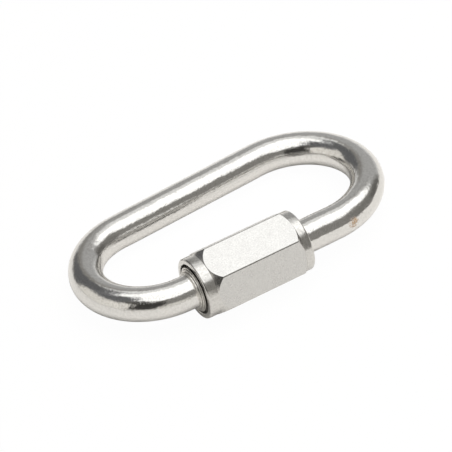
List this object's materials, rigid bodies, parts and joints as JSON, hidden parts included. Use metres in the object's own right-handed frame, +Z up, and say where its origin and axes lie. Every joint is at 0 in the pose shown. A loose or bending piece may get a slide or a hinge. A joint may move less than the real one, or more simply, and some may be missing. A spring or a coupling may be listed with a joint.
{
  "type": "chain quick link",
  "caption": "Oval chain link bent from round stainless rod, its threaded gate closed by a long hexagon sleeve nut that screws aside to let another link in.",
  "frame": {"origin": "middle of the bounding box on the ground the link lies on, nut screwed shut", "axes": "+X along the nut's thread axis, the way the nut runs to open the gate; +Y from the nut towards the plain back side of the oval; +Z up"},
  "size_m": [0.0592, 0.034, 0.0123],
  "materials": {
    "polished_rod": "polished stainless rod with faint lines along its length and one small rust spot",
    "satin_nut": "satin flats with a fine grain, turned bright collars"
  },
  "bodies": {
    "link": {"link_body": "polished_rod"},
    "nut": {"sleeve_nut": "satin_nut"}
  },
  "joints": [
    {"name": "nut_travel", "type": "slide", "parent": "link", "child": "nut", "axis": [1, 0, 0], "range_m": [0, 0.012]}
  ]
}
